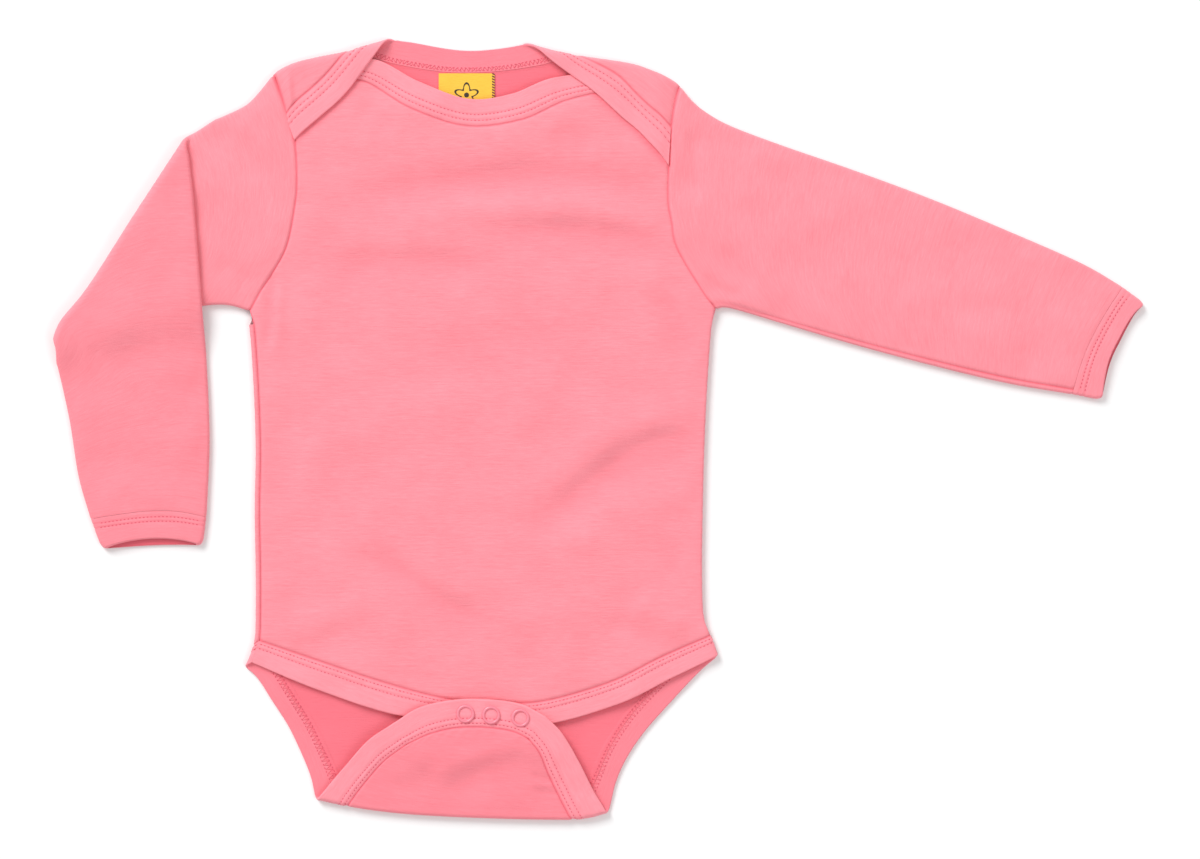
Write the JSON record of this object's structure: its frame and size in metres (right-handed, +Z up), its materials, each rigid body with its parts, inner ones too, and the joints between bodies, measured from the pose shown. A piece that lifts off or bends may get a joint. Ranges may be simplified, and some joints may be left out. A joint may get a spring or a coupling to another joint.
{
  "type": "baby onesie",
  "caption": "Long-sleeved baby bodysuit with an envelope neck and a snap crotch flap, laid flat with one sleeve folded over.",
  "frame": {"origin": "centre of the footprint, on the surface that the garment lies on", "axes": "+X towards the wearer's left sleeve, +Y towards the neck, +Z up out of the front"},
  "size_m": [0.5668, 0.4051, 0.008],
  "materials": {
    "jersey": "fine cotton jersey, matt",
    "binding_jersey": "doubled cotton jersey, matt",
    "label_satin": "woven label",
    "snap_enamel": "glossy enamel"
  },
  "bodies": {
    "root": {"back": "jersey", "front": "jersey", "sleeve_left": "jersey", "sleeve_right": "jersey", "cuff_left": "jersey", "cuff_right": "jersey", "neck_binding_front": "binding_jersey", "neck_binding_back": "binding_jersey", "hem_binding_front": "binding_jersey", "leg_binding_back": "binding_jersey", "label": "label_satin", "snap_cap_1": "snap_enamel", "snap_cap_2": "snap_enamel", "snap_cap_3": "snap_enamel", "snap_stud_1": "snap_enamel", "snap_stud_2": "snap_enamel", "snap_stud_3": "snap_enamel"}
  },
  "joints": []
}
